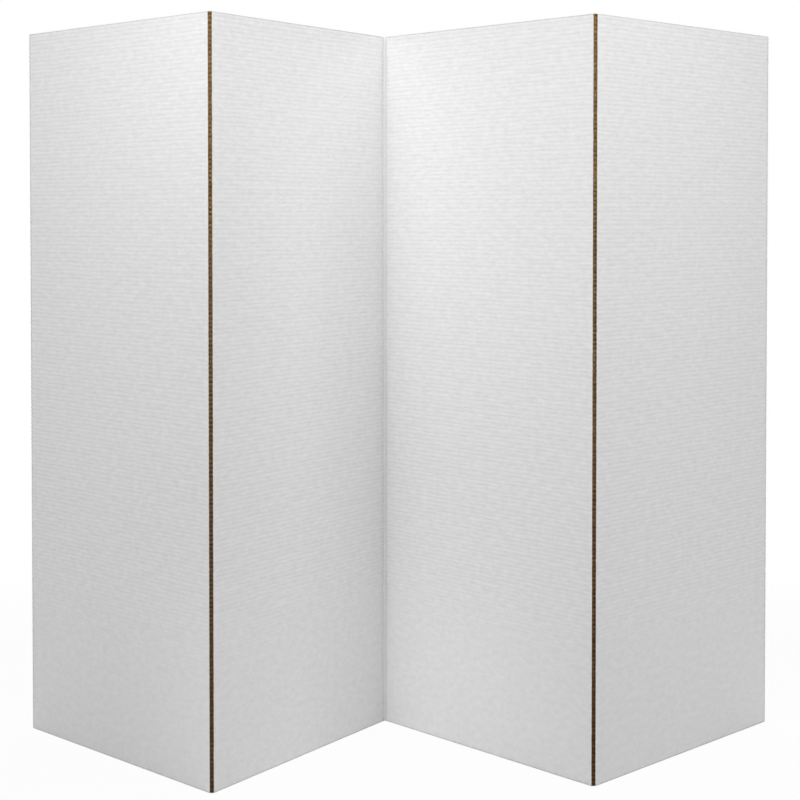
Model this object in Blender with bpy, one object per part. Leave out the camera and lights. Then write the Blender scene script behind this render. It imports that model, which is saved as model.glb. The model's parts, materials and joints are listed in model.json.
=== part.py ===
# Folding screen of white corrugated board: four equal panels standing in a zigzag.
# One sheet makes it. The outer folds are cut through from the front down to the rear liner,
# and the centre fold is a band pressed into the board from the front.
# Metres, +Z up, the front faces -Y, the flutes run level, and the origin is on the floor
# under the middle of the screen.

import math

import bmesh
import bpy
from mathutils import Vector

# The sheet, from fold line to fold line
PANEL_HEIGHT = 1.372
PANEL_WIDTH = 0.635
OUTER_TRIM = 0.002  # the outer panels are this much narrower, so that both can lie folded behind

# The layers of the board
LINER_THICKNESS = 0.0003
MEDIUM_THICKNESS = 0.00025
FLUTE_PITCH = 0.00795
FLUTE_DEPTH = 0.0025  # crest to trough of the medium's middle line
PAPER_GAP = 0.0002  # between layers that are glued, and round a bent liner

# The folds, where the rear liner bends and is the hinge. The bent strip of liner reaches this far
# from its axis, either way.
CUT_BEND_REACH = 0.0007
CREASE_BEND_REACH = 0.0004
BEND_STEPS = 8

# The cut folds
CUT_CORE_SETBACK = 0.0005  # the blade drags the cut flutes back from the fold line
BACK_TO_BACK_GAP = 0.0003  # between the rear faces of two panels folded together

# The pressed band of the centre fold
CRUSHED_CORE_THICKNESS = 0.0018
FACE_TO_FACE_GAP = 0.0013  # between the front faces of two panels folded together
CREASE_CLEARANCE = 0.0003  # left beside the band when it is folded right over

# How far each fold is bent from flat as the screen stands, and how the pressed band is turned
LEFT_FOLD_ANGLE = math.radians(113.5)
CENTRE_FOLD_ANGLE = math.radians(116.0)
RIGHT_FOLD_ANGLE = math.radians(106.5)
BAND_AZIMUTH = math.radians(4.0)

SMOOTH_UNDER = math.radians(40.0)

# Worked out from the sizes above
flute_count = round(PANEL_HEIGHT / FLUTE_PITCH)
half_pitch = PANEL_HEIGHT / flute_count / 2
medium_across = MEDIUM_THICKNESS * math.hypot(half_pitch, FLUTE_DEPTH) / half_pitch
fluting_depth = FLUTE_DEPTH + medium_across
board_thickness = fluting_depth + 2 * (LINER_THICKNESS + PAPER_GAP)
liner_and_gap = LINER_THICKNESS + PAPER_GAP

half_liner = LINER_THICKNESS / 2
cut_axis_offset = BACK_TO_BACK_GAP / 2  # from the rear faces back to the axis of a cut fold
cut_bend_radius = cut_axis_offset + half_liner  # of the liner's middle line
cut_bend_setback = CUT_BEND_REACH + PAPER_GAP

crushed_thickness = CRUSHED_CORE_THICKNESS + 2 * liner_and_gap
crease_setback = crushed_thickness - half_liner + CREASE_CLEARANCE
crease_width = 2 * (board_thickness - half_liner) + FACE_TO_FACE_GAP
crease_bend_setback = CREASE_BEND_REACH + PAPER_GAP
band_setback = half_liner + CREASE_CLEARANCE

inner_width = PANEL_WIDTH - crease_width / 2
outer_width = PANEL_WIDTH - OUTER_TRIM

# How far each layer stops short of the fold line or edge: front liner, fluting, rear liner
SETBACKS = {
    "free": (0.0, 0.0, 0.0),
    "cut": (PAPER_GAP, CUT_CORE_SETBACK, cut_bend_setback),
    "crease": (crease_setback, crease_setback + liner_and_gap, crease_bend_setback),
}


def clear_scene():
    for thing in list(bpy.data.objects):
        bpy.data.objects.remove(thing, do_unlink=True)


def paper_material(name, colour, roughness):
    material = bpy.data.materials.new(name)
    material.use_nodes = True
    shader = material.node_tree.nodes["Principled BSDF"]
    shader.inputs["Base Color"].default_value = (*colour, 1.0)
    shader.inputs["Roughness"].default_value = roughness
    shader.inputs["Metallic"].default_value = 0.0
    return material


def fold_axis(name, parent, x, y, turn):
    """An empty on a fold line. The pieces that turn about the line are its children."""
    axis = bpy.data.objects.new(name, None)
    axis.empty_display_size = PANEL_WIDTH / 4
    bpy.context.scene.collection.objects.link(axis)
    axis.parent = parent
    axis.location = (x, y, 0.0)
    axis.rotation_euler = (0.0, 0.0, turn)
    return axis


def finish_piece(name, mesh, material, parent):
    mesh.materials.append(material)
    piece = bpy.data.objects.new(name, mesh)
    piece.parent = parent
    bpy.context.scene.collection.objects.link(piece)
    return piece


def upright_strip(name, outline, material, parent):
    """A piece of one plan outline, drawn up to the height of the screen."""
    shape = bmesh.new()
    floor = shape.faces.new([shape.verts.new((x, y, 0.0)) for x, y in outline])
    grown = bmesh.ops.extrude_face_region(shape, geom=[floor])
    lifted = [part for part in grown["geom"] if isinstance(part, bmesh.types.BMVert)]
    bmesh.ops.translate(shape, verts=lifted, vec=(0.0, 0.0, PANEL_HEIGHT))
    bmesh.ops.recalc_face_normals(shape, faces=shape.faces)
    mesh = bpy.data.meshes.new(name)
    shape.to_mesh(mesh)
    shape.free()
    mesh.shade_smooth()
    mesh.set_sharp_from_angle(angle=SMOOTH_UNDER)
    return finish_piece(name, mesh, material, parent)


def box_outline(start, end, back, front):
    return [(start, back), (end, back), (end, front), (start, front)]


def bent_liner(name, x, y, side, outside, bend, middle_radius, reach, parent):
    """The strip of bare liner that bends at a fold, seen in plan.

    One leg points against side and the other is turned by bend, each as long as reach. The outside
    of the bend lies at -Y or +Y, as outside says, and middle_radius is from the fold's axis to the
    liner's middle line.
    """
    outer, inner = middle_radius + half_liner, middle_radius - half_liner
    turned = Vector((math.cos(bend), math.sin(bend)))

    def round_axis(radius, angle):
        return Vector((math.sin(angle), -math.cos(angle))) * radius

    angles = [bend * step / BEND_STEPS for step in range(BEND_STEPS + 1)]
    outline = [Vector((-reach, -outer))]
    outline += [round_axis(outer, angle) for angle in angles]
    outline.append(turned * reach + round_axis(outer, bend))
    outline.append(turned * reach + round_axis(inner, bend))
    if inner > 0:
        outline += [round_axis(inner, angle) for angle in reversed(angles)]
    else:
        outline.append(round_axis(inner / math.cos(bend / 2), bend / 2))
    outline.append(Vector((-reach, -inner)))
    placed = [(x + side * point.x, y - outside * point.y) for point in outline]
    upright_strip(name, placed, kraft_liner, parent)


def fluting_sheet(name, start, end, back, material, parent):
    """The corrugated medium: one folded sheet whose ridges run level, crest after trough."""
    middle = back - fluting_depth / 2
    shape = bmesh.new()
    rows = []
    for fold in range(2 * flute_count + 1):
        side = 1 if fold % 2 else -1
        centre = middle - side * FLUTE_DEPTH / 2
        height = PANEL_HEIGHT if fold == 2 * flute_count else fold * half_pitch
        rear, front = centre + medium_across / 2, centre - medium_across / 2
        row = [(start, rear), (end, rear), (end, front), (start, front)]
        rows.append([shape.verts.new((x, y, height)) for x, y in row])
    shape.faces.new(rows[0])
    shape.faces.new(rows[-1])
    for low, high in zip(rows, rows[1:]):
        for this, following in ((0, 1), (1, 2), (2, 3), (3, 0)):
            shape.faces.new((low[this], low[following], high[following], high[this]))
    bmesh.ops.recalc_face_normals(shape, faces=shape.faces)
    mesh = bpy.data.meshes.new(name)
    shape.to_mesh(mesh)
    shape.free()
    return finish_piece(name, mesh, material, parent)


def front_liner_outline(start, end, back, has_lip):
    """The front liner in plan. At a crease it turns down the end of the flutes in a lip."""
    outer = back - board_thickness
    inner = outer + LINER_THICKNESS
    if not has_lip:
        return box_outline(start, end, inner, outer)
    foot = back - liner_and_gap
    bend = start + LINER_THICKNESS
    return [(start, outer), (end, outer), (end, inner), (bend, inner), (bend, foot), (start, foot)]


def layered_panel(panel, parent, side, width, back, near_edge, far_edge):
    """One panel as its three glued layers, drawn from its axis towards side.

    back is the rear face, and the front lies at -Y of it.
    """
    near_front, near_core, near_rear = SETBACKS[near_edge]
    far_front, far_core, far_rear = SETBACKS[far_edge]

    def draw(layer, outline, material):
        placed = [(side * x, y) for x, y in outline]
        upright_strip(f"{panel}_{layer}", placed, material, parent)

    front = front_liner_outline(near_front, width - far_front, back, near_edge == "crease")
    draw("front_liner", front, white_liner)
    ends = (side * near_core, side * (width - far_core))
    fluting_sheet(f"{panel}_fluting", *ends, back - liner_and_gap, kraft_fluting, parent)
    rear = box_outline(near_rear, width - far_rear, back, back - LINER_THICKNESS)
    draw("rear_liner", rear, kraft_liner)


def pressed_band(parent):
    """The centre fold: the band that was pressed flat, with the bent liner at its two edges."""
    back = half_liner
    top = back - crushed_thickness
    under_top = top + LINER_THICKNESS
    foot = back - liner_and_gap
    start, end = band_setback, crease_width - band_setback
    wrap_start, wrap_end = start + LINER_THICKNESS, end - LINER_THICKNESS
    wrap = [
        (start, foot),
        (start, top),
        (end, top),
        (end, foot),
        (wrap_end, foot),
        (wrap_end, under_top),
        (wrap_start, under_top),
        (wrap_start, foot),
    ]
    upright_strip("centre_fold_front_liner", wrap, white_liner, parent)
    core = box_outline(wrap_start + PAPER_GAP, wrap_end - PAPER_GAP, foot, under_top + PAPER_GAP)
    upright_strip("centre_fold_crushed_core", core, crushed_core, parent)
    rear_end = crease_width - crease_bend_setback
    rear = box_outline(crease_bend_setback, rear_end, back, back - LINER_THICKNESS)
    upright_strip("centre_fold_rear_liner", rear, kraft_liner, parent)


def half_screen(name, side, band, crease_x, cut_fold_angle):
    """The inner and outer panel on one side of the pressed band, with the folds that join them."""
    crease_bend = CENTRE_FOLD_ANGLE / 2
    crease = fold_axis(f"centre_fold_{name}_axis", band, crease_x, 0.0, -side * crease_bend)
    fold_x, fold_y = side * inner_width, half_liner + cut_axis_offset
    fold = fold_axis(f"{name}_fold_axis", crease, fold_x, fold_y, side * cut_fold_angle)
    layered_panel(f"{name}_inner", crease, side, inner_width, half_liner, "crease", "cut")
    layered_panel(f"{name}_outer", fold, side, outer_width, -cut_axis_offset, "cut", "free")

    crease_liner = (side, 1, crease_bend, 0.0, CREASE_BEND_REACH)
    bent_liner(f"centre_fold_{name}_hinge", crease_x, 0.0, *crease_liner, band)
    cut_liner = (side, -1, cut_fold_angle, cut_bend_radius, CUT_BEND_REACH)
    bent_liner(f"{name}_fold_hinge", fold_x, fold_y, *cut_liner, crease)


def stand_on_origin(root):
    """Moves the whole screen so that the middle of its outline on the floor is the origin."""
    bpy.context.view_layer.update()
    points = [
        piece.matrix_world @ corner.co
        for piece in bpy.data.objects
        if piece.type == "MESH"
        for corner in piece.data.vertices
    ]
    middle = [(min(p[i] for p in points) + max(p[i] for p in points)) / 2 for i in (0, 1)]
    root.location -= Vector((*middle, 0.0))
    bpy.context.view_layer.update()


clear_scene()

white_liner = paper_material("white_liner", (0.83, 0.83, 0.83), 0.75)
kraft_liner = paper_material("kraft_liner", (0.42, 0.27, 0.14), 0.85)
kraft_fluting = paper_material("kraft_fluting", (0.33, 0.20, 0.10), 0.9)
crushed_core = paper_material("crushed_core", (0.30, 0.18, 0.09), 0.95)

# The cut folds turn about a line a little behind the rear faces, and the creases about one in the
# middle of the rear liner. The band is at the root, and each half of the screen hangs from it.
band_frame = fold_axis("centre_fold_frame", None, 0.0, 0.0, BAND_AZIMUTH)
pressed_band(band_frame)
half_screen("left", -1, band_frame, 0.0, LEFT_FOLD_ANGLE)
half_screen("right", 1, band_frame, crease_width, RIGHT_FOLD_ANGLE)

stand_on_origin(band_frame)
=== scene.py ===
# Looks of the folding screen: white corrugated board, cut folds in front and a pressed fold behind.
# Sizes are in metres. A panel's own axes are u, across it from its fold, d, out of its front, and z.

import json
import math

import bmesh
import bpy
from mathutils import Matrix, Vector


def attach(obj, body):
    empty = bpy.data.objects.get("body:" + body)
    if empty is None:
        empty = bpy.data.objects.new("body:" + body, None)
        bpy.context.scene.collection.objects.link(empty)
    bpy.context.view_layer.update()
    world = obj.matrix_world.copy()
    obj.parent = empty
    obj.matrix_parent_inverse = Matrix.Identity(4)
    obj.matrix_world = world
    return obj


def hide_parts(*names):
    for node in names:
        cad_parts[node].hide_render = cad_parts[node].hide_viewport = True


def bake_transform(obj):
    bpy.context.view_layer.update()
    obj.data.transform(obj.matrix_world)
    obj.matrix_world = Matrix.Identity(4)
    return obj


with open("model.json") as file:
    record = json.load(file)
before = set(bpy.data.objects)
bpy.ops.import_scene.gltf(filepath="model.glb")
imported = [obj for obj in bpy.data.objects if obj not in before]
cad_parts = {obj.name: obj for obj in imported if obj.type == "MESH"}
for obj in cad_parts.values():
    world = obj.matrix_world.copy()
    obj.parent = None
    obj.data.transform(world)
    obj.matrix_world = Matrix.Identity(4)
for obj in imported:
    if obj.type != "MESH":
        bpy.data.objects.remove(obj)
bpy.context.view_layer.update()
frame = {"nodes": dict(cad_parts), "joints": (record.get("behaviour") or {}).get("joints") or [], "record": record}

millimetre = 0.001
linerThickness = 0.3 * millimetre  # of every paper but the fluted one
smoothUnder = 50.0                 # degrees, past which an edge is drawn sharp


# Reading the frame

def jointPlace(name):
    return Vector(next(j for j in frame["joints"] if j["name"] == name)["pos_m"])


# An inner panel runs from a pressed crease to a cut, and an outer one from a cut to a free edge
def readPanel(name, joint):
    front = next(m for m in frame["record"]["mounts"] if m["name"] == name + "_front")
    normal = Vector(front["axis"])
    along = Vector((-normal.y, normal.x, 0))
    pivot = jointPlace(joint)
    if (Vector(front["pos_m"]) - pivot).dot(along) < 0:
        along.negate()
    return {"name": name, "pivot": pivot, "along": along, "normal": normal,
            "body": name + "_panel", "isInner": "inner" in name}


# The pressed band between the two creases of the centre fold
def readBand():
    pivot = jointPlace("centre_fold_left_crease")
    along = (jointPlace("centre_fold_right_crease") - pivot).normalized()
    normal = Vector((along.y, -along.x, 0))
    return {"name": "centre_fold", "pivot": pivot, "along": along, "normal": normal,
            "body": "centre_fold_band"}


def layerPoints(panel, layer):
    return [v.co for v in frame["nodes"][panel["name"] + "_" + layer].data.vertices]


# How far a layer reaches across its panel (u), out of it (d) and up (z)
def spans(panel, layer):
    places = [point - panel["pivot"] for point in layerPoints(panel, layer)]
    across = [p.dot(panel["along"]) for p in places]
    out = [p.dot(panel["normal"]) for p in places]
    up = [p.z for p in places]
    return [(min(side), max(side)) for side in (across, out, up)]


# From a panel's own axes (u, d, z) to the row frame
def toWorld(panel):
    turn = Matrix((panel["along"], panel["normal"], Vector((0, 0, 1)))).transposed()
    return Matrix.Translation(panel["pivot"]) @ turn.to_4x4()


leftOuter = readPanel("left_outer", "left_fold")
leftInner = readPanel("left_inner", "centre_fold_left_crease")
rightInner = readPanel("right_inner", "centre_fold_right_crease")
rightOuter = readPanel("right_outer", "right_fold")
band = readBand()
panels = [leftOuter, leftInner, rightInner, rightOuter]

screenHeight = spans(leftOuter, "front_liner")[2][1]
fluteLevels = {round(point.z, 6) for point in layerPoints(leftOuter, "fluting")}
waves = (len(fluteLevels) - 1) // 2
flutePitch = screenHeight / waves

# The folds on the flat sheet, measured from its left free edge
leftCut = spans(leftOuter, "front_liner")[0][1]
leftCrease = leftCut + spans(leftInner, "rear_liner")[0][1]
rightCrease = leftCrease + (rightInner["pivot"] - leftInner["pivot"]).length
rightCut = rightCrease + spans(rightInner, "rear_liner")[0][1]
sheetWidth = rightCut + spans(rightOuter, "front_liner")[0][1]
sheetPlaces = {  # where u starts on it, and which way u runs
    "left_outer": (leftCut, -1),
    "left_inner": (leftCrease, -1),
    "centre_fold": (leftCrease, 1),
    "right_inner": (rightCrease, 1),
    "right_outer": (rightCut, 1),
}
print("frame read: %d flutes of %.2f mm, sheet %.3f by %.3f m"
      % (waves, flutePitch / millimetre, sheetWidth, screenHeight))


# Small helpers for node trees

def addNode(tree, kind, **values):
    node = tree.nodes.new(kind)
    for key, value in values.items():
        setattr(node, key, value)
    return node


def link(tree, source, target):
    tree.links.new(source, target)


# Links an input to another node's socket, or sets it to a value
def feed(tree, value, target):
    if isinstance(value, bpy.types.NodeSocket):
        link(tree, value, target)
    else:
        target.default_value = value


# One Math node; a and b are numbers or sockets
def maths(tree, operation, a, b=None):
    node = addNode(tree, "ShaderNodeMath", operation=operation)
    feed(tree, a, node.inputs[0])
    if b is not None:
        feed(tree, b, node.inputs[1])
    return node.outputs[0]


def times(tree, first, *others):
    for other in others:
        first = maths(tree, "MULTIPLY", first, other)
    return first


def mapRange(tree, value, fromLow, fromHigh, toLow, toHigh, smooth=False):
    node = addNode(tree, "ShaderNodeMapRange",
                   interpolation_type="SMOOTHSTEP" if smooth else "LINEAR")
    for slot, number in enumerate((value, fromLow, fromHigh, toLow, toHigh)):
        feed(tree, number, node.inputs[slot])
    return node.outputs[0]


# How far a place is from the nearer end of a length
def fromEnds(tree, place, length):
    return maths(tree, "MINIMUM", place, maths(tree, "SUBTRACT", length, place))


def axesOf(tree, vector):
    node = addNode(tree, "ShaderNodeSeparateXYZ")
    link(tree, vector, node.inputs[0])
    return node.outputs


def joined(tree, x=0.0, y=0.0, z=0.0):
    node = addNode(tree, "ShaderNodeCombineXYZ")
    for slot, value in enumerate((x, y, z)):
        feed(tree, value, node.inputs[slot])
    return node.outputs[0]


def scaled(tree, vector, scale, shift=(0, 0, 0)):
    node = addNode(tree, "ShaderNodeVectorMath", operation="MULTIPLY_ADD")
    for slot, value in enumerate((vector, scale, shift)):
        feed(tree, value, node.inputs[slot])
    return node.outputs[0]


# Noise with so many cells per metre along each axis
def noise(tree, vector, scale, shift=(0, 0, 0), detail=2.0, roughness=0.5):
    node = addNode(tree, "ShaderNodeTexNoise", noise_dimensions="3D")
    node.inputs["Scale"].default_value = 1.0
    node.inputs["Detail"].default_value = detail
    node.inputs["Roughness"].default_value = roughness
    link(tree, scaled(tree, vector, scale, shift), node.inputs["Vector"])
    return node.outputs[0]


noiseSpan = (0.3, 0.7)  # where most of a noise's values lie


def spreadNoise(tree, value, low, high):
    return mapRange(tree, value, *noiseSpan, low, high)


# A node group with its named inputs, each given its value or else its kind of socket
def newGroup(name, treeKind, inputs, outputs, outputKind="NodeSocketFloat"):
    tree = bpy.data.node_groups.new(name, treeKind)
    for label, value in inputs.items():
        hasValue = not isinstance(value, str)
        kind = "NodeSocketFloat" if hasValue else value
        socket = tree.interface.new_socket(label, in_out="INPUT", socket_type=kind)
        if hasValue:
            socket.default_value = value
    for label in outputs:
        tree.interface.new_socket(label, in_out="OUTPUT", socket_type=outputKind)
    return tree, addNode(tree, "NodeGroupInput"), addNode(tree, "NodeGroupOutput")


# Patterns that the papers share. Their vector is a place on the flat sheet: x across it, y up.

grainShape = {
    "fibreUp": 0.28,       # of the fibres' density goes up the sheet, so that they lie upright
    "fibreNoise": {"detail": 4.0, "roughness": 0.6},
    "cloudAcross": 0.55,   # of the clouds' density goes across it
    "cloudNoise": {"detail": 5.0, "roughness": 0.72},
    "speckShift": (0.4, 0.2, 0.0),
    "speckDensity": 0.35,  # of the fibres'
    "speckSize": 0.09,
}


def paperGrainGroup():
    tree, start, end = newGroup("paperGrain", "ShaderNodeTree", {
        "Vector": "NodeSocketVector",
        "Fibre density": 900.0,
        "Cloud density": 60.0,
    }, ["Fibres", "Clouds", "Specks"])
    vector, fine, broad = (start.outputs[n] for n in ("Vector", "Fibre density", "Cloud density"))
    upright = joined(tree, fine, times(tree, fine, grainShape["fibreUp"]), fine)
    level = joined(tree, times(tree, broad, grainShape["cloudAcross"]), broad, broad)
    link(tree, noise(tree, vector, upright, **grainShape["fibreNoise"]), end.inputs["Fibres"])
    link(tree, noise(tree, vector, level, **grainShape["cloudNoise"]), end.inputs["Clouds"])
    cells = addNode(tree, "ShaderNodeTexVoronoi", feature="F1")
    link(tree, scaled(tree, vector, upright, grainShape["speckShift"]), cells.inputs["Vector"])
    cells.inputs["Scale"].default_value = grainShape["speckDensity"]
    specks = maths(tree, "LESS_THAN", cells.outputs["Distance"], grainShape["speckSize"])
    link(tree, specks, end.inputs["Specks"])
    return tree


lineShape = {
    "wobble": (16.0, 70.0, 1.0),   # noise that bends the lines
    "wobbleReach": (-0.18, 0.18),  # in flutes
    "dashes": (42.0, 190.0, 1.0),  # noise that breaks them
    "dashShift": (3.0, 1.0, 0.0),
    "dashSpan": (0.38, 0.62),
    "detail": 3.0,
}


# Level lines in broken dashes: 1 between the crests under the front liner, -1 on those crests
def fluteLinesGroup():
    tree, start, end = newGroup("fluteLines", "ShaderNodeTree", {
        "Vector": "NodeSocketVector",
        "Flute pitch": flutePitch,
        "Fade from": -1.0,  # under the foot, so that nothing fades
        "Fade to": 0.0,
    }, ["Lines"])
    put = start.outputs
    up = axesOf(tree, put["Vector"])["Y"]
    detail = lineShape["detail"]
    wobble = noise(tree, put["Vector"], lineShape["wobble"], detail=detail)
    dashes = noise(tree, put["Vector"], lineShape["dashes"], lineShape["dashShift"], detail)
    turns = maths(tree, "ADD", maths(tree, "DIVIDE", up, put["Flute pitch"]),
                  spreadNoise(tree, wobble, *lineShape["wobbleReach"]))
    wave = maths(tree, "COSINE", times(tree, turns, math.tau))
    fade = mapRange(tree, up, put["Fade from"], put["Fade to"], 0.0, 1.0, smooth=True)
    broken = mapRange(tree, dashes, *lineShape["dashSpan"], 0.0, 1.0)
    link(tree, times(tree, wave, fade, broken), end.inputs["Lines"])
    return tree


creaseShape = {
    "cores": {"Soft": 0.1, "Sharp": 0.85},  # share of its reach that a line is full on
    "endSpan": (3 * millimetre, 12 * millimetre),
    "endWidth": 1.8,                        # times as wide at the top and the foot
    "mottle": (40.0, 90.0, 1.0),
    "mottleShares": (0.8, 1.1),
}


# Painted shade of the two pressed lines of the centre fold: 1 on them, 0 beside them, and wider at their ends
def creaseShadeGroup():
    tree, start, end = newGroup("creaseShade", "ShaderNodeTree", {
        "Vector": "NodeSocketVector",
        "Soft line": 0.0,
        "Soft reach": 0.0,
        "Soft share": 1.0,
        "Sharp line": 0.0,
        "Sharp reach": 0.0,
        "Sharp share": 1.0,
        "Height": screenHeight,
    }, ["Crease"])
    put = start.outputs
    axes = axesOf(tree, put["Vector"])
    ends = fromEnds(tree, axes["Y"], put["Height"])
    widen = mapRange(tree, ends, *creaseShape["endSpan"], creaseShape["endWidth"], 1.0, smooth=True)
    marks = []
    for line, core in creaseShape["cores"].items():
        away = maths(tree, "ABSOLUTE", maths(tree, "SUBTRACT", axes["X"], put[line + " line"]))
        wide = times(tree, put[line + " reach"], widen)
        mark = mapRange(tree, away, times(tree, wide, core), wide, 1.0, 0.0, smooth=True)
        marks.append(times(tree, mark, put[line + " share"]))
    mottle = noise(tree, put["Vector"], creaseShape["mottle"])
    mottled = spreadNoise(tree, mottle, *creaseShape["mottleShares"])
    link(tree, times(tree, maths(tree, "MAXIMUM", *marks), mottled), end.inputs["Crease"])
    return tree


edgeDarkShape = {
    "core": 0.35,                # share of its reach that is darkest
    "mottle": (130.0, 130.0, 1.0),
    "mottleDetail": 3.0,
    "mottleShares": (0.6, 1.5),
}


# How near a point is to the cut edges of the whole sheet: 1 at the edge, 0 past the reach
def edgeWearGroup():
    tree, start, end = newGroup("edgeWear", "ShaderNodeTree", {
        "Vector": "NodeSocketVector",
        "Width": sheetWidth,
        "Height": screenHeight,
        "Reach": 0.0,
        "At sides": 1.0,  # what a distance counts for there: the less, the further the darkening goes
        "At foot": 1.0,
    }, ["Wear"])
    put = start.outputs
    axes = axesOf(tree, put["Vector"])
    fromSide = times(tree, put["At sides"], fromEnds(tree, axes["X"], put["Width"]))
    fromFoot = times(tree, put["At foot"], axes["Y"])
    fromTop = maths(tree, "SUBTRACT", put["Height"], axes["Y"])
    nearest = maths(tree, "MINIMUM", fromSide, maths(tree, "MINIMUM", fromFoot, fromTop))
    mottle = noise(tree, put["Vector"], edgeDarkShape["mottle"], detail=edgeDarkShape["mottleDetail"])
    wide = times(tree, put["Reach"], spreadNoise(tree, mottle, *edgeDarkShape["mottleShares"]))
    core = times(tree, wide, edgeDarkShape["core"])
    link(tree, mapRange(tree, nearest, core, wide, 1.0, 0.0, smooth=True), end.inputs["Wear"])
    return tree


paperGrain = paperGrainGroup()
fluteLines = fluteLinesGroup()
edgeWear = edgeWearGroup()
creaseShade = creaseShadeGroup()


# Materials

def newMaterial(name):
    material = bpy.data.materials.new(name)
    material.use_nodes = True
    return material, material.node_tree, material.node_tree.nodes["Principled BSDF"]


def placeGroup(tree, group, vector, values):
    node = addNode(tree, "ShaderNodeGroup")
    node.node_tree = group
    link(tree, vector, node.inputs["Vector"])
    for label, value in values.items():
        node.inputs[label].default_value = value
    return node.outputs


def mixColour(tree, share, first, second, blend="MIX"):
    node = addNode(tree, "ShaderNodeMix", data_type="RGBA", blend_type=blend)
    feed(tree, share, node.inputs[0])
    for slot, colour in ((6, first), (7, second)):
        feed(tree, (*colour, 1.0) if isinstance(colour, tuple) else colour, node.inputs[slot])
    return node.outputs[2]


roughSpan = (0.2, 0.8)  # of the fibres' values, over which the roughness changes


# The colour, with roughness and relief that follow the fibres
def finishShader(tree, shader, colour, fibres, settings):
    link(tree, colour, shader.inputs["Base Color"])
    rough, swing = settings["roughness"], settings["roughSwing"]
    link(tree, mapRange(tree, fibres, *roughSpan, rough - swing, rough + swing),
         shader.inputs["Roughness"])
    shader.inputs["Specular IOR Level"].default_value = settings["specular"]
    relief = addNode(tree, "ShaderNodeBump")
    relief.inputs["Strength"].default_value = 1.0
    relief.inputs["Distance"].default_value = settings["relief"]
    link(tree, fibres, relief.inputs["Height"])
    link(tree, relief.outputs[0], shader.inputs["Normal"])


whitePaper = {
    "colour": (0.880, 0.880, 0.878),
    "fibres": 1400.0,                 # per metre
    "clouds": 95.0,                   # per metre
    "cloudSpan": (0.33, 0.68),
    "shade": (0.745, 0.745, 0.746),   # in the dim clouds of the coating
    "shading": 0.75,                  # how far the clouds go towards the shade
    "line": (0.715, 0.715, 0.717),    # painted shade of the washboard, between the crests of the flutes
    "lineShade": 0.72,
    "lineSpan": (-0.35, 1.0),         # of the flute lines, from none to a full line
    "fadeFrom": 0.15,                 # the painted shade of the flute lines, and the ripple, fade out below fadeTo
    "fadeTo": 0.42,
    # Darker along the cut edges of the sheet
    "edgeTone": (0.52, 0.52, 0.515),
    "edgeToneShare": 0.65,
    "edgeToneReach": 2.8 * millimetre,
    "edgeToneAtSides": 0.5,               # the darker edge reaches further at the sides, and a little further at the foot
    "edgeToneAtFoot": 0.85,
    "crease": (0.70, 0.70, 0.695),    # painted shade in and beside the pressed lines
    "softLine": -7.5 * millimetre,    # from the left crease, and the sharp one from the right
    "softShare": 0.3,
    "sharpLine": -1.3 * millimetre,
    "creaseReach": 4.5 * millimetre,
    "roughness": 0.63,
    "roughSwing": 0.07,
    "specular": 0.35,
    "relief": 0.03 * millimetre,
}


def whitePaperMaterial(name, settings):
    material, tree, shader = newMaterial(name)
    sheet = addNode(tree, "ShaderNodeUVMap", uv_map="sheet").outputs[0]
    grain = placeGroup(tree, paperGrain, sheet, {
        "Fibre density": settings["fibres"], "Cloud density": settings["clouds"]})
    lineShade = placeGroup(tree, fluteLines, sheet, {
        "Flute pitch": flutePitch, "Fade from": settings["fadeFrom"], "Fade to": settings["fadeTo"]})
    edgeMask = placeGroup(tree, edgeWear, sheet, {
        "Width": sheetWidth, "Height": screenHeight, "Reach": settings["edgeToneReach"],
        "At sides": settings["edgeToneAtSides"], "At foot": settings["edgeToneAtFoot"]})
    creaseShading = placeGroup(tree, creaseShade, sheet, {
        "Soft line": leftCrease + settings["softLine"], "Soft reach": settings["creaseReach"],
        "Soft share": settings["softShare"], "Sharp line": rightCrease + settings["sharpLine"],
        "Sharp reach": settings["creaseReach"], "Height": screenHeight})
    clouds = mapRange(tree, grain["Clouds"], *settings["cloudSpan"], 0.0, settings["shading"])
    colour = mixColour(tree, clouds, settings["colour"], settings["shade"])
    # Painted shade of the washboard: darker lines between the crests of the flutes
    lineShaded = mapRange(tree, lineShade["Lines"], *settings["lineSpan"], 0.0, settings["lineShade"])
    colour = mixColour(tree, lineShaded, colour, settings["line"])
    # Darker along the cut edges of the sheet
    edgeTone = times(tree, edgeMask["Wear"], settings["edgeToneShare"])
    colour = mixColour(tree, edgeTone, colour, settings["edgeTone"])
    # Painted shade along the pressed lines of the centre fold
    colour = mixColour(tree, creaseShading["Crease"], colour, settings["crease"])
    finishShader(tree, shader, colour, grain["Fibres"], settings)
    return material


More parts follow.
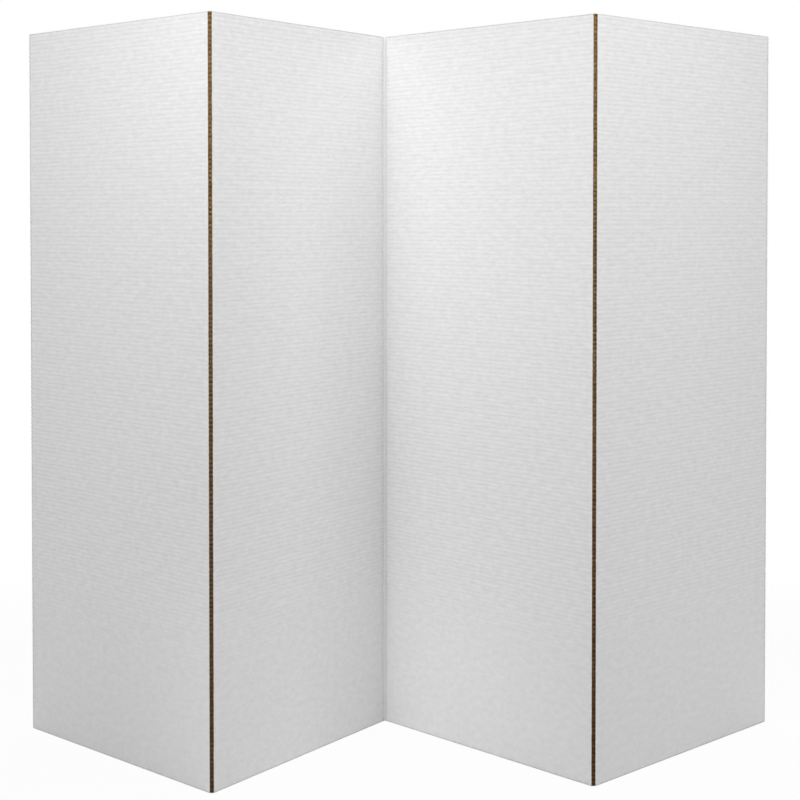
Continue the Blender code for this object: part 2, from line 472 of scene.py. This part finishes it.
brownPaper = {                        # what all the brown papers share
    "fibres": 700.0,                  # per metre
    "fibreSpan": (0.45, 0.75),        # of the fibres' values, from the paper to a light fibre
    "fibreShare": 0.7,
    "speckShare": 0.5,
    "footSpan": (0.1, 1.25),          # heights between which the painted shade of the foot fades
    "roughSwing": 0.08,
    "specular": 0.25,
    "relief": 0.05 * millimetre,
}
kraftPaper = {
    **brownPaper,
    "colour": (0.310, 0.175, 0.072),
    "dark": (0.225, 0.115, 0.042),
    "light": (0.430, 0.270, 0.130),
    "patches": 22.0,                  # per metre
    "patchiness": 0.7,
    "patchEdge": 0.2,                 # the smaller, the harder their edges
    "lineSpan": (-1.0, 1.0),          # of the flute lines, from none to the dark: painted shade of the washboard
    "lineShade": 0.3,
    "roughness": 0.82,
}
scoredPaper = {                       # bare in the cut folds, with painted shade that darkens it towards the foot
    **brownPaper,
    "colour": (0.600, 0.330, 0.110),
    "dark": (0.075, 0.030, 0.006),
    "light": (0.640, 0.380, 0.150),
    "patches": 250.0,
    "patchiness": 1.0,
    "patchEdge": 0.11,
    "lineSpan": (0.15, -0.35),        # painted shade under the arches of the flutes
    "lineShade": 0.75,
    "foot": (0.47, 0.41, 0.36),       # painted shade of the foot, darker towards the bottom
    "roughness": 0.88,
}
kraftMedium = {
    **brownPaper,
    "colour": (0.640, 0.370, 0.140),
    "dark": (0.120, 0.053, 0.015),
    "light": (0.680, 0.430, 0.190),
    "patches": 250.0,
    "patchiness": 1.0,
    "patchEdge": 0.11,
    "lineSpan": (-0.15, 0.35),        # painted shade in the valleys between the crests
    "lineShade": 0.9,
    "tunnelShade": (0.085, 0.038, 0.011),  # painted shade further in than the mouth, inside the tunnels of the flutes
    "mouth": (0.39 * millimetre, 1.3 * millimetre),
    # painted shade of the foot, darker towards the bottom
    "foot": (0.52, 0.46, 0.41),
    "roughness": 0.92,
}
cutEnds = {                           # the fibres of a cut edge, paler than the paper's faces
    **brownPaper,
    "colour": (0.760, 0.550, 0.300),
    "dark": (0.260, 0.140, 0.055),
    "light": (0.780, 0.620, 0.410),
    "patches": 200.0,
    "patchiness": 0.9,
    "patchEdge": 0.11,
    # painted shade of the foot, darker towards the bottom
    "foot": (0.47, 0.41, 0.36),
    "roughness": 0.95,
}
pressedCore = {
    **brownPaper,
    "colour": (0.280, 0.155, 0.065),
    "dark": (0.170, 0.088, 0.034),
    "light": (0.420, 0.265, 0.135),
    "patches": 200.0,
    "patchiness": 0.9,
    "patchEdge": 0.15,
    "roughness": 0.95,
}


# The plain brown papers. Pieces from the CAD carry no sheet map and read their own place instead.
def kraftMaterial(name, settings, onSheet=True):
    material, tree, shader = newMaterial(name)
    if onSheet:
        vector = addNode(tree, "ShaderNodeUVMap", uv_map="sheet").outputs[0]
    else:
        own = axesOf(tree, addNode(tree, "ShaderNodeTexCoord").outputs["Object"])
        vector = joined(tree, own["X"], own["Z"], own["Y"])
    grain = placeGroup(tree, paperGrain, vector, {
        "Fibre density": settings["fibres"], "Cloud density": settings["patches"]})
    edge = settings["patchEdge"]
    patches = mapRange(tree, grain["Clouds"], 0.5 - edge, 0.5 + edge, 0.0, settings["patchiness"])
    colour = mixColour(tree, patches, settings["colour"], settings["dark"])
    pale = mapRange(tree, grain["Fibres"], *settings["fibreSpan"], 0.0, settings["fibreShare"])
    colour = mixColour(tree, pale, colour, settings["light"])
    specks = times(tree, grain["Specks"], settings["speckShare"])
    colour = mixColour(tree, specks, colour, settings["dark"])
    # Painted shade that follows the flutes, darker between or under their crests
    if "lineSpan" in settings:
        lineShade = placeGroup(tree, fluteLines, vector, {"Flute pitch": flutePitch})
        shaded = mapRange(tree, lineShade["Lines"], *settings["lineSpan"], 0.0, settings["lineShade"])
        colour = mixColour(tree, shaded, colour, settings["dark"])
    # Painted shade inside the tunnels of the flutes, past their mouths
    if "tunnelShade" in settings:
        cut = addNode(tree, "ShaderNodeAttribute", attribute_name="sideEdge").outputs["Fac"]
        deep = mapRange(tree, cut, *settings["mouth"], 0.0, 1.0, smooth=True)
        colour = mixColour(tree, deep, colour, settings["tunnelShade"])
    # Painted shade that darkens the paper towards the foot
    if "foot" in settings:
        low = mapRange(tree, axesOf(tree, vector)["Y"], *settings["footSpan"], 1.0, 0.0)
        footShaded = mixColour(tree, 1.0, colour, settings["foot"], "MULTIPLY")
        colour = mixColour(tree, low, colour, footShaded)
    finishShader(tree, shader, colour, grain["Fibres"], settings)
    return material


whiteLiner = whitePaperMaterial("whiteLiner", whitePaper)
kraftLiner = kraftMaterial("kraftLiner", kraftPaper)
scoredLiner = kraftMaterial("scoredLiner", scoredPaper)
flutedKraft = kraftMaterial("flutedKraft", kraftMedium)
cutFibre = kraftMaterial("cutFibre", cutEnds)
crushedCore = kraftMaterial("crushedCore", pressedCore, onSheet=False)
kraftStrip = kraftMaterial("kraftStrip", kraftPaper, onSheet=False)
print("materials made")


# Geometry node trees: the paper pressed over the flutes, and the flutes themselves

def attribute(tree, name):
    node = addNode(tree, "GeometryNodeInputNamedAttribute", data_type="FLOAT")
    node.inputs["Name"].default_value = name
    return node.outputs[0]


# 1 where the flutes reach the front liner, -1 where they reach the rear one
def fluteWave(tree, height, pitch):
    turns = maths(tree, "DIVIDE", height, pitch)
    return times(tree, maths(tree, "COSINE", times(tree, turns, math.tau)), -1.0)


# The last nodes of a tree: each point moves by the offset, and the mesh takes the material
def closeTree(tree, start, end, offset):
    move = addNode(tree, "GeometryNodeSetPosition")
    realize = addNode(tree, "GeometryNodeRealizeInstances")
    paint = addNode(tree, "GeometryNodeSetMaterial")
    link(tree, start.outputs["Geometry"], move.inputs["Geometry"])
    link(tree, offset, move.inputs["Offset"])
    link(tree, move.outputs["Geometry"], realize.inputs["Geometry"])
    link(tree, realize.outputs["Geometry"], paint.inputs["Geometry"])
    link(tree, start.outputs["Material"], paint.inputs["Material"])
    link(tree, paint.outputs["Geometry"], end.inputs["Geometry"])
    return tree


pressing = {
    "dashes": (28.0, 1.0, 150.0),  # noise along the flutes, where the ripple comes and goes
    "dashDetail": 1.5,
    "dashSpan": (0.32, 0.68),
    "dashShares": (0.0, 2.0),      # of the ripple, at the two ends of the noise
    "clouds": (9.0, 1.0, 11.0),    # broader noise, in which the paper is loose or tight
    "cloudDetail": 3.0,
    "cloudShares": (0.6, 1.4),
    "knocks": (60.0, 1.0, 60.0),   # noise along the edges
    "knockShares": (0.5, 1.5),
    "edgeReach": 2.5 * millimetre,
    "edgeShares": (1.6, 0.3),      # of the dip between the crests, where nothing holds, and on them
}


def pressedPaperTree():
    tree, start, end = newGroup("pressedPaper", "GeometryNodeTree", {
        "Geometry": "NodeSocketGeometry",
        "Height": screenHeight,
        "Flute pitch": flutePitch,
        "Ripple": 0.0,
        "Ripple at foot": 1.0,
        "Fade from": 0.0,
        "Fade to": 1.0,
        "Edge dip": 0.0,
        "Edge reach": pressing["edgeReach"],
        "Seed": 0.0,
        "Material": "NodeSocketMaterial",
    }, ["Geometry"], "NodeSocketGeometry")
    put = start.outputs
    position = addNode(tree, "GeometryNodeInputPosition").outputs[0]
    height = axesOf(tree, position)["Z"]
    seed = joined(tree, y=put["Seed"])
    give = attribute(tree, "give")
    wave = fluteWave(tree, height, put["Flute pitch"])

    dashes = noise(tree, position, pressing["dashes"], seed, pressing["dashDetail"])
    clouds = noise(tree, position, pressing["clouds"], seed, pressing["cloudDetail"])
    strength = times(tree, mapRange(tree, dashes, *pressing["dashSpan"], *pressing["dashShares"]),
                     spreadNoise(tree, clouds, *pressing["cloudShares"]))
    fade = mapRange(tree, height, put["Fade from"], put["Fade to"], put["Ripple at foot"], 1.0,
                    smooth=True)
    ripple = times(tree, wave, put["Ripple"], strength, fade, give)
    slack = times(tree, maths(tree, "SUBTRACT", clouds, 0.5), put["Ripple"], give)

    # The nearest of the top, the foot and the side edges presses the paper back
    nearest = maths(tree, "MINIMUM", fromEnds(tree, height, put["Height"]),
                    attribute(tree, "sideEdge"))
    bite = mapRange(tree, nearest, 0.0, put["Edge reach"], 1.0, 0.0)
    knocks = noise(tree, position, pressing["knocks"], seed)
    sunk = times(tree, spreadNoise(tree, knocks, *pressing["knockShares"]),
                 mapRange(tree, wave, -1.0, 1.0, *pressing["edgeShares"]), give)
    dip = times(tree, bite, bite, put["Edge dip"], sunk)
    push = maths(tree, "SUBTRACT", maths(tree, "ADD", ripple, slack), dip)
    return closeTree(tree, start, end, joined(tree, y=push))


crushing = {
    "slow": (6.0, 1.0, 115.0),      # noise that changes from flute to flute
    "quick": (300.0, 1.0, 900.0),   # noise that changes within a flute's end
    "reach": 3 * millimetre,        # from a cut
    "calmFlutes": 2,                # at the top and the foot, where they lean less and less
    "crushShares": (0.2, 1.8),      # of what the piece asks for, at the two ends of the noise
    "leanShares": (-1.0, 1.0),
    "raggedShares": (-0.2, 1.0),
}


def flutedMediumTree():
    tree, start, end = newGroup("flutedMedium", "GeometryNodeTree", {
        "Geometry": "NodeSocketGeometry",
        "Height": screenHeight,
        "Flute pitch": flutePitch,
        "Flute depth": 0.0,
        "Crush": 0.0,
        "Crush reach": crushing["reach"],
        "Lean": 0.0,
        "Ragged": 0.0,
        "Seed": 0.0,
        "Material": "NodeSocketMaterial",
    }, ["Geometry"], "NodeSocketGeometry")
    put = start.outputs
    position = addNode(tree, "GeometryNodeInputPosition").outputs[0]
    height = axesOf(tree, position)["Z"]
    seed = joined(tree, y=put["Seed"])
    slow = noise(tree, position, crushing["slow"], seed)
    quick = noise(tree, position, crushing["quick"], seed)
    near = mapRange(tree, attribute(tree, "sideEdge"), 0.0, put["Crush reach"], 1.0, 0.0, smooth=True)
    loose = mapRange(tree, fromEnds(tree, height, put["Height"]),
                     0.0, crushing["calmFlutes"] * flutePitch, 0.0, 1.0, smooth=True)

    crush = times(tree, near, put["Crush"], spreadNoise(tree, slow, *crushing["crushShares"]))
    wave = fluteWave(tree, height, put["Flute pitch"])
    out = times(tree, wave, 0.5, put["Flute depth"], maths(tree, "SUBTRACT", 1.0, crush))
    lean = times(tree, near, loose, put["Lean"], spreadNoise(tree, slow, *crushing["leanShares"]))
    ragged = times(tree, near, put["Ragged"], spreadNoise(tree, quick, *crushing["raggedShares"]))
    return closeTree(tree, start, end, joined(tree, ragged, out, lean))


pressedPaper = pressedPaperTree()
flutedMedium = flutedMediumTree()


# Meshes of paper

def addObject(name, data):
    thing = bpy.data.objects.new(name, data)
    bpy.context.scene.collection.objects.link(thing)
    return thing


def addModifier(thing, tree, values):
    modifier = thing.modifiers.new(tree.name, "NODES")
    modifier.node_group = tree
    for item in tree.interface.items_tree:
        if item.in_out == "INPUT" and item.name in values:
            modifier[item.identifier] = values[item.name]


def addSheetMap(mesh, places):
    sheet = mesh.uv_layers.new(name="sheet")
    sheet.data.foreach_set("uv", [c for loop in mesh.loops for c in places[loop.vertex_index]])


def smoothFaces(mesh):
    mesh.shade_smooth()
    mesh.set_sharp_from_angle(angle=math.radians(smoothUnder))


# How far each station is along the paper from the first
def runAlong(stations):
    run = [0.0]
    for this, following in zip(stations, stations[1:]):
        run.append(run[-1] + math.hypot(following[0] - this[0], following[1] - this[1]))
    return run


# A grid of paper before it is pressed. stations are (u, d, give) across the panel, where give
# says how far the paper there can follow the flutes, and edges says which of the two side edges
# are cut ends of the sheet.
def paperGrid(name, panel, stations, levels, edges=(True, True), sheetStart=None):
    columns = len(stations)
    faces = []
    for row in range(len(levels) - 1):
        for column in range(columns - 1):
            corner = row * columns + column
            faces.append((corner, corner + columns, corner + columns + 1, corner + 1))
    mesh = bpy.data.meshes.new(name)
    mesh.from_pydata([(u, d, z) for z in levels for u, d, give in stations], [], faces)
    run = runAlong(stations)
    far = 1.0
    sideEdges = [min(s if edges[0] else far, run[-1] - s if edges[1] else far) for s in run]
    for label, values in (("give", [s[2] for s in stations]), ("sideEdge", sideEdges)):
        stored = mesh.attributes.new(label, "FLOAT", "POINT")
        stored.data.foreach_set("value", values * len(levels))
    begin, sense = sheetPlaces[panel["name"]]
    if sheetStart is None:
        sheetStart = begin + sense * stations[0][0]
    addSheetMap(mesh, [(sheetStart + sense * s, z) for z in levels for s in run])
    return mesh


def evenLevels(stepsPerWave):
    count = waves * stepsPerWave
    return [screenHeight * level / count for level in range(count + 1)]


# Stations from start to end, close together at both ends
def crowded(start, end, count):
    middle, half = (start + end) / 2, (end - start) / 2
    return [middle - half * math.cos(math.pi * step / count) for step in range(count + 1)]


# Stations of a quarter turn in plan, where the paper rolls over from its edge onto its face
def rolledCorner(start, high, radius, steps):
    stations = []
    for step in range(steps + 1):
        angle = math.pi / 2 * step / steps
        stations.append((start + radius * (1 - math.cos(angle)),
                         high - radius * (1 - math.sin(angle)), 0.0))
    return stations


# A working object of liner paper, pressed as its piece's settings say
def pressPaper(mesh, settings, seed, material):
    working = addObject("working", mesh)
    addModifier(working, pressedPaper, {
        "Height": screenHeight, "Flute pitch": flutePitch, "Ripple": settings["ripple"],
        "Ripple at foot": settings["footRipple"], "Fade from": whitePaper["fadeFrom"],
        "Fade to": whitePaper["fadeTo"], "Edge dip": settings["edgeDip"], "Seed": seed,
        "Material": material})
    return working


# The evaluated mesh of a working object, placed in the row frame as a piece of its own. The face of
# the sheet keeps its material, and the hidden side and the cut edges take theirs.
def finishPiece(name, working, panel, thickness):
    sheetFaces = len(working.data.polygons)
    wall = working.modifiers.new("wall", "SOLIDIFY")
    wall.thickness = thickness
    wall.offset = -1.0
    bpy.context.view_layer.update()
    graph = bpy.context.evaluated_depsgraph_get()
    mesh = bpy.data.meshes.new_from_object(working.evaluated_get(graph))
    bpy.data.objects.remove(working)
    # The hidden side takes the medium's material, with its painted tunnel shade
    mesh.materials.append(flutedKraft)
    mesh.materials.append(cutFibre)
    rims = len(mesh.polygons) - 2 * sheetFaces
    mesh.polygons.foreach_set("material_index", [0] * sheetFaces + [1] * sheetFaces + [2] * rims)
    matrix = toWorld(panel)
    mesh.transform(matrix)
    if matrix.determinant() < 0:
        mesh.flip_normals()
    smoothFaces(mesh)
    mesh.name = name
    return addObject(name, mesh)


# One piece of a kind for each panel, each with a seed of its own
def makeOnPanels(make, settings):
    first, step = settings["seeds"]
    for count, panel in enumerate(panels):
        piece = make(panel, first + count * step)
        print(piece.name, len(piece.data.polygons))


# The white front liner

frontLiner = {
    "stepsPerWave": 6,
    "columns": 36,
    "ripple": 0.10 * millimetre,
    "footRipple": 0.05,                # share of the ripple that is left at the foot
    "edgeDip": 0.35 * millimetre,
    "cutBack": 1.0 * millimetre,       # bare board between the cut and the worn edge of the paper
    "cornerRadius": 1.3 * millimetre,  # where the paper rolls over into the pressed crease
    "cornerSteps": 7,
    "lipStations": 3,
    "ease": 6 * millimetre,            # from the corner to where the paper follows the flutes
    "seeds": (0.0, 7.3),               # of the first panel, and from one to the next
}


# A panel's outline in plan: flat, or at a crease rolled over and down to its foot
def frontStations(panel):
    (start, end), (low, high) = spans(panel, "front_liner")[:2]
    cutBack, columns = frontLiner["cutBack"], frontLiner["columns"]
    if not panel["isInner"]:
        return [(u, high, 1.0) for u in crowded(start + cutBack, end, columns)]
    radius, lips = frontLiner["cornerRadius"], frontLiner["lipStations"]
    stations = [(start, low + (high - radius - low) * step / lips, 0.0) for step in range(lips)]
    stations += rolledCorner(start, high, radius, frontLiner["cornerSteps"])
    for u in crowded(start + radius, end - cutBack, columns)[1:]:
        stations.append((u, high, min(1.0, (u - start - radius) / frontLiner["ease"])))
    return stations


def makeFrontLiner(panel, seed):
    name = panel["name"] + "_front_paper"
    node = panel["name"] + "_front_liner"
    mesh = paperGrid(name, panel, frontStations(panel), evenLevels(frontLiner["stepsPerWave"]),
                     (not panel["isInner"], True))
    working = pressPaper(mesh, frontLiner, seed, whiteLiner)
    piece = finishPiece(name, working, panel, linerThickness)
    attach(piece, panel["body"])
    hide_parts(node)
    return piece


makeOnPanels(makeFrontLiner, frontLiner)


# The fluted medium

medium = {
    "stepsPerWave": 12,
    "thickness": 0.38 * millimetre,
    "nearCuts": (0.0, 0.4, 0.9, 1.8, 3.2, 8.0, 40.0),  # millimetres from a cut end
    "middleStations": 4,
    "crush": 0.42,
    "lean": 0.9 * millimetre,
    "ragged": 0.6 * millimetre,
    "seeds": (40.0, 5.7),
}


def makeFluting(panel, seed):
    name = panel["name"] + "_waves"
    node = panel["name"] + "_fluting"
    (start, end), (low, high) = spans(panel, "fluting")[:2]
    near = [step * millimetre for step in medium["nearCuts"]]
    inner, outer = start + near[-1], end - near[-1]
    count = medium["middleStations"]
    across = [start + step for step in near]
    across += [inner + (outer - inner) * step / (count + 1) for step in range(1, count + 1)]
    across += [end - step for step in reversed(near)]
    face = (low + high + medium["thickness"]) / 2
    stations = [(u, face, 1.0) for u in across]
    working = addObject("working", paperGrid(name, panel, stations, evenLevels(medium["stepsPerWave"])))
    addModifier(working, flutedMedium, {
        "Height": screenHeight, "Flute pitch": flutePitch,
        "Flute depth": high - low - medium["thickness"], "Crush": medium["crush"],
        "Lean": medium["lean"], "Ragged": medium["ragged"], "Seed": seed, "Material": flutedKraft})
    piece = finishPiece(name, working, panel, medium["thickness"])
    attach(piece, panel["body"])
    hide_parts(node)
    return piece


makeOnPanels(makeFluting, medium)


# The brown rear liner

rearLiner = {
    "stepsPerWave": 6,
    "columns": 20,
    "ripple": 0.05 * millimetre,
    "footRipple": 1.0,
    "edgeDip": 0.3 * millimetre,
    "ease": 5 * millimetre,       # from a fold to where the paper follows the flutes
    "seeds": (80.0, 3.1),
}


def makeRearLiner(panel, seed):
    name = panel["name"] + "_rear_paper"
    node = panel["name"] + "_rear_liner"
    behind = {**panel, "normal": -panel["normal"]}  # the panel with d out of its rear face
    (start, end), depth = spans(behind, "rear_liner")[:2]
    stations = []
    for u in crowded(start, end, rearLiner["columns"]):
        fromFold = (u - start) / rearLiner["ease"]
        toFold = (end - u) / rearLiner["ease"] if panel["isInner"] else 1.0
        stations.append((u, depth[1], min(1.0, fromFold, toFold)))
    mesh = paperGrid(name, panel, stations, evenLevels(rearLiner["stepsPerWave"]),
                     (False, not panel["isInner"]))
    working = pressPaper(mesh, rearLiner, seed, kraftLiner)
    piece = finishPiece(name, working, behind, linerThickness)
    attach(piece, panel["body"])
    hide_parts(node)
    return piece


makeOnPanels(makeRearLiner, rearLiner)


# The folds, where narrow strips of liner bend between two bodies

foldStrip = {
    "arcSteps": 10,
    "levelFlutes": 2,               # flutes from one level of a strip to the next
    "seam": 0.02 * millimetre,      # between a strip and the liner that it goes on from
    "held": 0.01 * millimetre,      # of a strip's ends
}


# A closed strip of one plan outline, in the row frame, up to the height of the screen
def uprightStrip(name, outline, material, sheetStart):
    step = foldStrip["levelFlutes"]
    levels = [screenHeight * min(level, waves) / waves for level in range(0, waves + step, step)]
    around = len(outline)
    corners = [(p.x, p.y, z) for z in levels for p in outline]
    faces = [tuple(range(around)), tuple(range(len(corners) - around, len(corners)))]
    for row in range(len(levels) - 1):
        for column in range(around):
            low, high = row * around + column, row * around + (column + 1) % around
            faces.append((low, high, high + around, low + around))
    mesh = bpy.data.meshes.new(name)
    mesh.from_pydata(corners, [], faces)
    start = outline[0]
    addSheetMap(mesh, [(sheetStart + (p - start).length, z) for z in levels for p in outline])
    shape = bmesh.new()
    shape.from_mesh(mesh)
    bmesh.ops.recalc_face_normals(shape, faces=shape.faces)
    shape.to_mesh(mesh)
    shape.free()
    mesh.materials.append(material)
    smoothFaces(mesh)
    return addObject(name, mesh)


# One face of a bent strip in plan: out along the first leg, round the axis and back along the
# second. A side is (panel, way into it from the axis, length of the leg). depth is from the axis
# to the face. On the hollow side of the bend the legs meet at a point instead of an arc.
def bentFace(axis, first, second, depth):
    begin, finish = first[0]["normal"], second[0]["normal"]
    ends = [axis + side[1] * side[2] + side[0]["normal"] * depth for side in (first, second)]
    opens = first[1].dot(finish) + second[1].dot(begin) > 0
    if (depth > 0) == opens:
        corner = axis + (begin + finish) * depth / (1 + begin.dot(finish))
        return [ends[0], corner, ends[1]]
    turn = math.atan2(begin.cross(finish).z, begin.dot(finish))
    steps = foldStrip["arcSteps"]
    arc = [axis + Matrix.Rotation(turn * step / steps, 3, "Z") @ begin * depth
           for step in range(steps + 1)]
    return [ends[0], *arc, ends[1]]


# A strip that bends at a joint. faces are the depths of its rear and its front.
def bendingStrip(name, joint, first, second, faces, material, slot, node=None):
    axis = jointPlace(joint)
    axis.z = 0.0
    rear = bentFace(axis, first, second, faces[0])
    front = bentFace(axis, first, second, faces[1])
    outline = rear + list(reversed(front))
    piece = uprightStrip(name, outline, material, sheetPlaces[second[0]["name"]][0])
    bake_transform(piece)
    if node:
        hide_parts(node)
    return piece


# How near and how far from a joint's axis a layer lies, going the given way
def reachFrom(joint, way, panel, layer):
    axis = jointPlace(joint)
    steps = [(point - axis).dot(way) for point in layerPoints(panel, layer)]
    return min(steps), max(steps)


# The bare rear liner that bends between two panels, or between the band and a panel
def rearStrip(name, joint, first, firstWay, second, node, material=kraftLiner):
    sides = []
    for panel, way in ((first, firstWay), (second, second["along"])):
        leg = reachFrom(joint, way, panel, "rear_liner")[0] - foldStrip["seam"]
        sides.append((panel, way, leg))
    faces = reachFrom(joint, second["normal"], second, "rear_liner")
    return bendingStrip(name, joint, *sides, faces, material, "kraft_liner", node)


rearStrip("left_fold_strip", "left_fold", leftInner, -leftInner["along"], leftOuter,
          "left_fold_hinge", scoredLiner)
rearStrip("right_fold_strip", "right_fold", rightInner, -rightInner["along"], rightOuter,
          "right_fold_hinge", scoredLiner)
rearStrip("left_crease_strip", "centre_fold_left_crease", band, band["along"], leftInner,
          "centre_fold_left_hinge")
rearStrip("right_crease_strip", "centre_fold_right_crease", band, -band["along"], rightInner,
          "centre_fold_right_hinge")

# The white paper at the bottom of each pressed crease, glued down on the rear liner
creaseFloor = {
    "clear": 0.02 * millimetre,     # off the rear liner
    "underLip": 0.15 * millimetre,  # how far it runs in under the paper beside it
}


def creaseFloorStrip(name, joint, bandWay, panel):
    sides = []
    for part, way in ((band, bandWay), (panel, panel["along"])):
        leg = reachFrom(joint, way, part, "front_liner")[0] + creaseFloor["underLip"]
        sides.append((part, way, leg))
    low = reachFrom(joint, panel["normal"], panel, "rear_liner")[1] + creaseFloor["clear"]
    return bendingStrip(name, joint, *sides, (low, low + linerThickness), whiteLiner, "white_liner")


creaseFloorStrip("left_crease_floor", "centre_fold_left_crease", band["along"], leftInner)
creaseFloorStrip("right_crease_floor", "centre_fold_right_crease", -band["along"], rightInner)


# The pressed band of the centre fold, wrapped in the white paper

pressedSkin = {
    "shoulder": 0.7 * millimetre,
    "shoulderSteps": 5,
    "topStations": 6,
    "stepsPerWave": 6,
    "ripple": 0.06 * millimetre,
    "footRipple": 0.3,
    "edgeDip": 0.1 * millimetre,
    "seed": 31.0,
}


def makeBandSkin():
    (start, end), (low, high) = spans(band, "front_liner")[:2]
    radius, count = pressedSkin["shoulder"], pressedSkin["topStations"]
    rising = [(start, low, 0.0)] + rolledCorner(start, high, radius, pressedSkin["shoulderSteps"])
    top = [(start + radius + (end - start - 2 * radius) * step / count, high, 1.0)
           for step in range(1, count)]
    falling = [(start + end - u, d, give) for u, d, give in reversed(rising)]
    stations = rising + top + falling
    middle = sheetPlaces[band["name"]][0] + (start + end) / 2
    mesh = paperGrid("centre_fold_paper", band, stations, evenLevels(pressedSkin["stepsPerWave"]),
                     (False, False), middle - runAlong(stations)[-1] / 2)
    working = pressPaper(mesh, pressedSkin, pressedSkin["seed"], whiteLiner)
    piece = finishPiece("centre_fold_paper", working, band, linerThickness)
    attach(piece, band["body"])
    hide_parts("centre_fold_front_liner")


makeBandSkin()
for node, material in (("centre_fold_crushed_core", crushedCore),
                       ("centre_fold_rear_liner", kraftStrip)):
    kept = frame["nodes"][node]
    kept.data.materials.clear()
    kept.data.materials.append(material)
print("folds made")


# Floor, backdrop, lamps and camera

stage = {
    "floorSize": 60.0,
    "floorDrop": 0.5 * millimetre,
    "floorColour": (0.86, 0.86, 0.86),
    "floorRoughness": 0.9,
    "glow": 0.95,             # how much of the floor the camera sees as plain white
    "shadowNear": 1.2,        # from here out to shadowFar the floor turns to white alone
    "shadowFar": 2.6,
    "ambient": 0.418,
}


def seenDirectly(tree):
    rays = addNode(tree, "ShaderNodeLightPath").outputs
    return maths(tree, "MAXIMUM", rays["Is Camera Ray"],
                 maths(tree, "MAXIMUM", rays["Is Glossy Ray"], rays["Is Transmission Ray"]))


# Shows the second shader where the share is 1, and the first where it is 0
def mixShaders(tree, share, first, second, output):
    mix = addNode(tree, "ShaderNodeMixShader")
    link(tree, share, mix.inputs[0])
    link(tree, first.outputs[0], mix.inputs[1])
    link(tree, second.outputs[0], mix.inputs[2])
    link(tree, mix.outputs[0], tree.nodes[output].inputs["Surface"])


def makeFloor():
    size = stage["floorSize"] / 2
    mesh = bpy.data.meshes.new("floor")
    mesh.from_pydata([(-size, -size, 0), (size, -size, 0), (size, size, 0), (-size, size, 0)],
                     [], [(0, 1, 2, 3)])
    floor = addObject("floor", mesh)
    floor.location.z = -stage["floorDrop"]
    material, tree, shader = newMaterial("paleFloor")
    shader.inputs["Base Color"].default_value = (*stage["floorColour"], 1)
    shader.inputs["Roughness"].default_value = stage["floorRoughness"]
    shader.inputs["Specular IOR Level"].default_value = 0.0
    white = addNode(tree, "ShaderNodeEmission")
    away = addNode(tree, "ShaderNodeVectorMath", operation="LENGTH")
    link(tree, addNode(tree, "ShaderNodeTexCoord").outputs["Object"], away.inputs[0])
    plain = mapRange(tree, away.outputs["Value"], stage["shadowNear"], stage["shadowFar"],
                     stage["glow"], 1.0, smooth=True)
    mixShaders(tree, times(tree, plain, seenDirectly(tree)), shader, white, "Material Output")
    mesh.materials.append(material)


def makeWorld():
    world = bpy.data.worlds.new("studio")
    bpy.context.scene.world = world
    world.use_nodes = True
    tree = world.node_tree
    ambient, white = tree.nodes["Background"], addNode(tree, "ShaderNodeBackground")
    for backdrop in (ambient, white):
        backdrop.inputs["Color"].default_value = (1, 1, 1, 1)
    ambient.inputs["Strength"].default_value = stage["ambient"]
    mixShaders(tree, seenDirectly(tree), ambient, white, "World Output")


# name: place, width and height, what it is aimed at, watts, spread in degrees
lamps = {
    "keyLeft": ((-1.7, -3.4, 3.2), (1.0, 1.0), (0, 0, 0.7), 32.0, 180),
    "gridLeft": ((-1.8, -3.0, 2.4), (1.5, 1.0), (-0.1, 0, 1.6), 3.5, 60),
    "frontWash": ((0, -2.6, 2.4), (2.5, 1.0), (0, 0, 1.6), 5.1, 60),
    "sideRight": ((1.7, -1.3, 2.2), (1.0, 1.0), (0, 0, 0.7), 15.1, 180),
    "footSpot": ((-0.8, -2.4, 0.5), (0.5, 0.4), (0.02, 0.2, 0.05), 0.09, 14),
    "peakSpot": ((-0.33, -1.6, 1.5), (0.4, 0.4), (-0.33, -0.28, 1.35), 0.10, 30),
    "rear": ((0, 3.2, 2.2), (1.6, 1.2), (0, 0.2, 0.6), 9.0, 60),
}


def makeLamps():
    for name, (spot, size, aim, watts, spread) in lamps.items():
        light = bpy.data.lights.new(name, "AREA")
        light.shape = "RECTANGLE"
        light.size, light.size_y = size
        light.energy = watts
        light.spread = math.radians(spread)
        lamp = addObject(name, light)
        lamp.location = spot
        lamp.rotation_euler = (Vector(aim) - Vector(spot)).to_track_quat("-Z", "Y").to_euler()


cameraSettings = {
    "lens": 99.0,
    "sensor": 36.0,
    "shiftY": -0.141,
    "place": (-0.0023, -4.1204, 1.0162),
    "tilt": 1.863,  # degrees below level
}


def makeCamera():
    data = bpy.data.cameras.new("camera")
    data.lens = cameraSettings["lens"]
    data.sensor_width = cameraSettings["sensor"]
    data.shift_y = cameraSettings["shiftY"]
    camera = addObject("camera", data)
    camera.location = cameraSettings["place"]
    camera.rotation_euler = (math.radians(90 - cameraSettings["tilt"]), 0, 0)
    bpy.context.scene.camera = camera


makeFloor()
makeWorld()
makeLamps()
makeCamera()
bpy.context.scene.view_settings.view_transform = "Standard"
print("stage, lamps and camera made")
